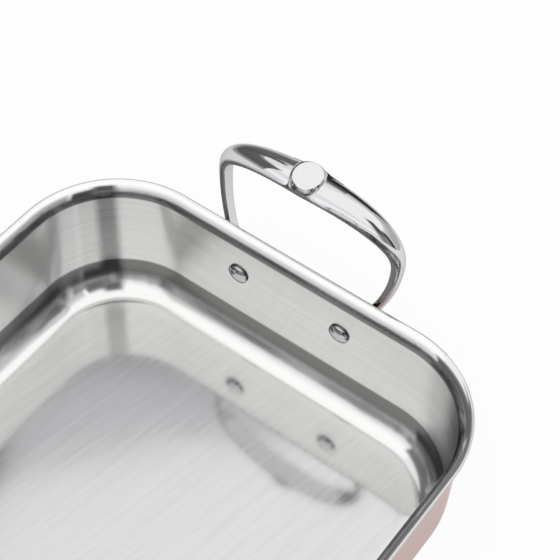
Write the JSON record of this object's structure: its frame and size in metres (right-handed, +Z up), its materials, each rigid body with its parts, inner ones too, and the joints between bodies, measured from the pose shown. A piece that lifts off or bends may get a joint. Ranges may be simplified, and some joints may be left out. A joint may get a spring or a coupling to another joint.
{
  "type": "roasting pan",
  "caption": "Rectangular clad roasting pan with rounded corners, a flared pouring lip and upright riveted loop handles at both ends.",
  "frame": {"origin": "middle of the flat underside, on the surface that the pan stands on", "axes": "+X along the pan towards the front handle, +Y across the pan, +Z up"},
  "size_m": [0.377, 0.25, 0.1368],
  "materials": {
    "liner_steel": "stainless steel, brushed along the floor and round the walls, polished at the lip",
    "core_aluminium": "plain rolled sheet, hidden between the other layers",
    "skin_copper": "copper, satin",
    "handle_steel": "cast stainless steel, mirror polished",
    "rivet_steel": "stainless steel, polished",
    "disc_steel": "stainless steel, fine satin, plain"
  },
  "bodies": {
    "root": {"inner_liner": "liner_steel", "core_sheet": "core_aluminium", "outer_skin": "skin_copper", "front_handle": "handle_steel", "rear_handle": "handle_steel", "front_rivet_left": "rivet_steel", "front_rivet_right": "rivet_steel", "rear_rivet_left": "rivet_steel", "rear_rivet_right": "rivet_steel", "front_disc": "disc_steel"}
  },
  "joints": []
}
